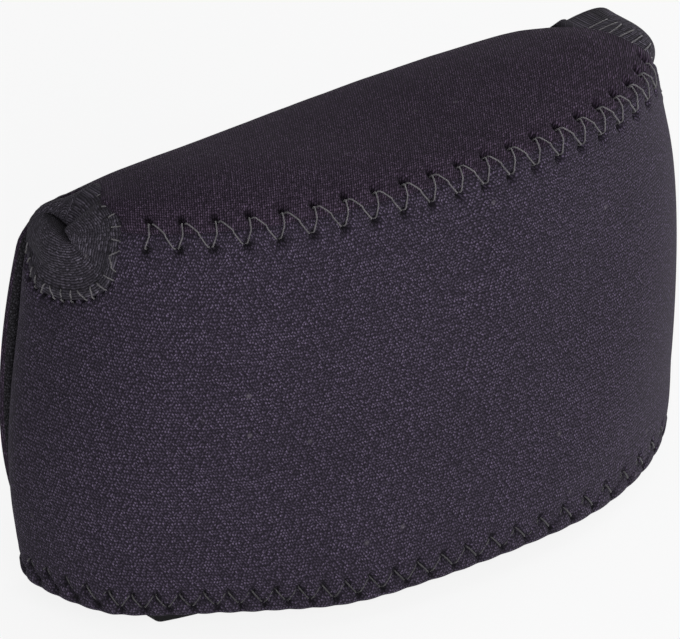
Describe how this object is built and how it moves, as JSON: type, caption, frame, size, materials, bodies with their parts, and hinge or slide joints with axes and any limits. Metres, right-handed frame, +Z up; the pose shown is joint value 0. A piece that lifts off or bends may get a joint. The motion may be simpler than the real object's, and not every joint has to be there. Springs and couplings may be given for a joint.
{
  "type": "neoprene camera case",
  "caption": "Soft padded camera pouch with a zigzag-sewn front, base and top, a rolled strap opening in each top corner, and a back flap that folds under and closes with hook and loop tape.",
  "frame": {"origin": "under the middle of the case, on the surface that it stands on", "axes": "+X to the right, +Y to the back where the case opens, +Z up"},
  "size_m": [0.1187, 0.0479, 0.0732],
  "materials": {
    "shell": "matte jersey over neoprene",
    "top": "matte jersey over neoprene",
    "tab": "smooth thin neoprene",
    "hook": "hook tape",
    "loop": "loop tape",
    "thread": "twisted sewing thread",
    "collar": "matte jersey, rolled"
  },
  "bodies": {
    "case_body": {"front_panel": "shell", "top_panel": "top", "base_panel": "shell", "loop_tape": "loop", "top_seam_thread": "thread", "base_seam_thread": "thread", "left_strap_collar": "collar", "left_collar_thread": "thread", "right_strap_collar": "collar", "right_collar_thread": "thread"},
    "flap": {"back_flap": "top"},
    "tab": {"closure_tab": "tab", "hook_tape": "hook"}
  },
  "joints": [
    {"name": "flap_fold", "type": "hinge", "parent": "case_body", "child": "flap", "pos_m": [0, 0.02393, 0.0617], "axis": [1, 0, 0], "range_deg": [0, 165]},
    {"name": "tab_fold", "type": "hinge", "parent": "flap", "child": "tab", "pos_m": [0, 0.01793, 0], "axis": [1, 0, 0], "range_deg": [0, 100]}
  ]
}
